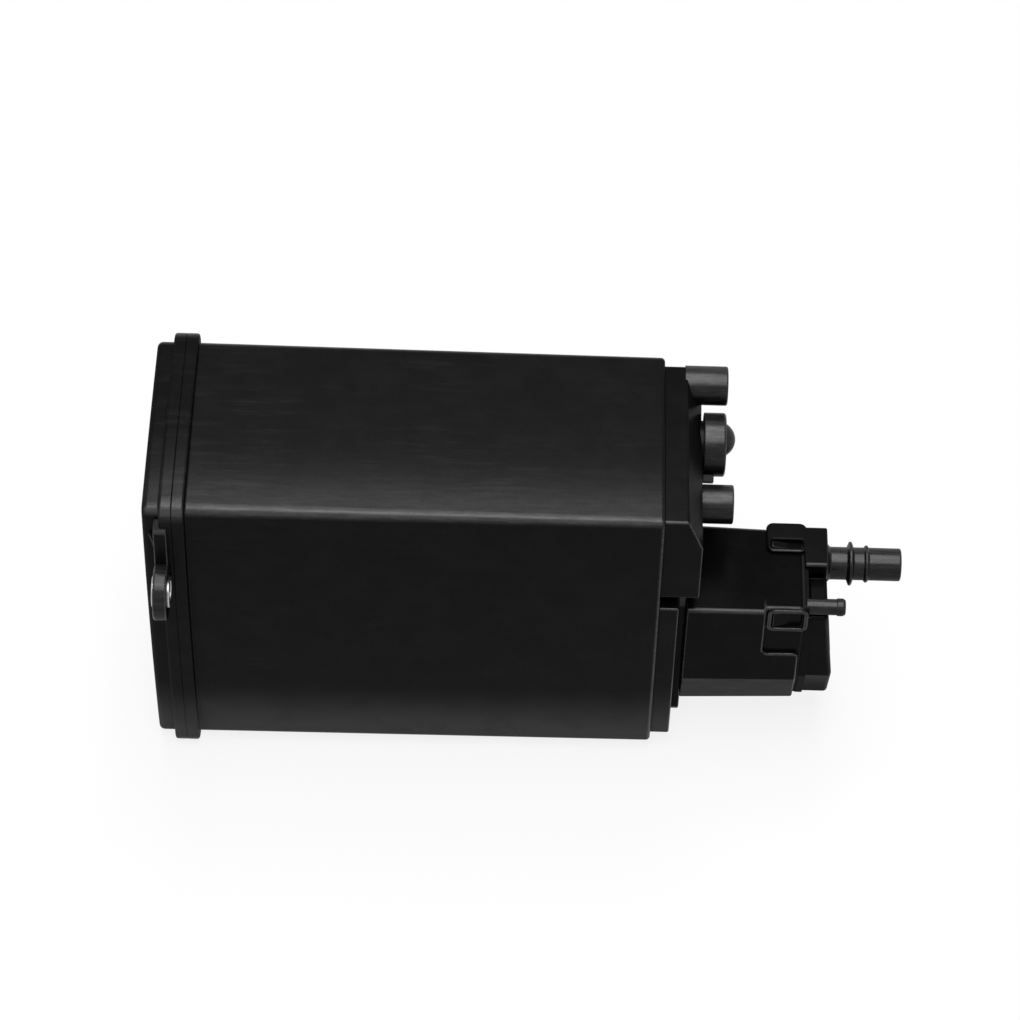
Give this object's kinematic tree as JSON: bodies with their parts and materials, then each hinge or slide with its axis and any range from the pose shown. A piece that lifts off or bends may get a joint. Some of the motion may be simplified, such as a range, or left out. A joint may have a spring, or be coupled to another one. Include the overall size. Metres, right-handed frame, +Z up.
{
  "type": "charcoal canister",
  "caption": "Black moulded box-shaped charcoal canister that stores fuel vapour, with a welded end lid, a fixing ear, a snap-covered port housing and hose ports at one end.",
  "frame": {"origin": "middle of the bounding box's underside, where the weld flange meets the floor", "axes": "+X along the shell from the end lid to the hose ports, +Y away from the side with the fixing ear, +Z up"},
  "size_m": [0.287, 0.1144, 0.1492],
  "materials": {
    "shell_plastic": "satin black moulded polyamide",
    "housing_plastic": "satin black moulded polyamide",
    "cap_plastic": "satin black",
    "plate_plastic": "plain moulded",
    "carbon": "packed carbon granules",
    "foam": "open-cell foam",
    "felt": "needled felt",
    "spring_steel": "drawn wire",
    "zinc_steel": "bright zinc plate",
    "brass": "turned",
    "seal_rubber": "matt"
  },
  "bodies": {
    "root": {"canister_body": "shell_plastic", "end_lid": "shell_plastic", "vent_cap": "cap_plastic", "port_housing": "housing_plastic", "port_cover": "housing_plastic", "main_plate": "plate_plastic", "vent_plate": "plate_plastic", "main_carbon": "carbon", "vent_carbon": "carbon", "main_port_foam": "foam", "vent_port_foam": "foam", "vent_filter": "foam", "trap_foam": "foam", "main_lid_felt": "felt", "vent_lid_felt": "felt", "main_spring_near": "spring_steel", "main_spring_far": "spring_steel", "vent_spring": "spring_steel", "ear_bush": "zinc_steel", "boss_inserts": "brass", "cover_seal": "seal_rubber"}
  },
  "joints": []
}
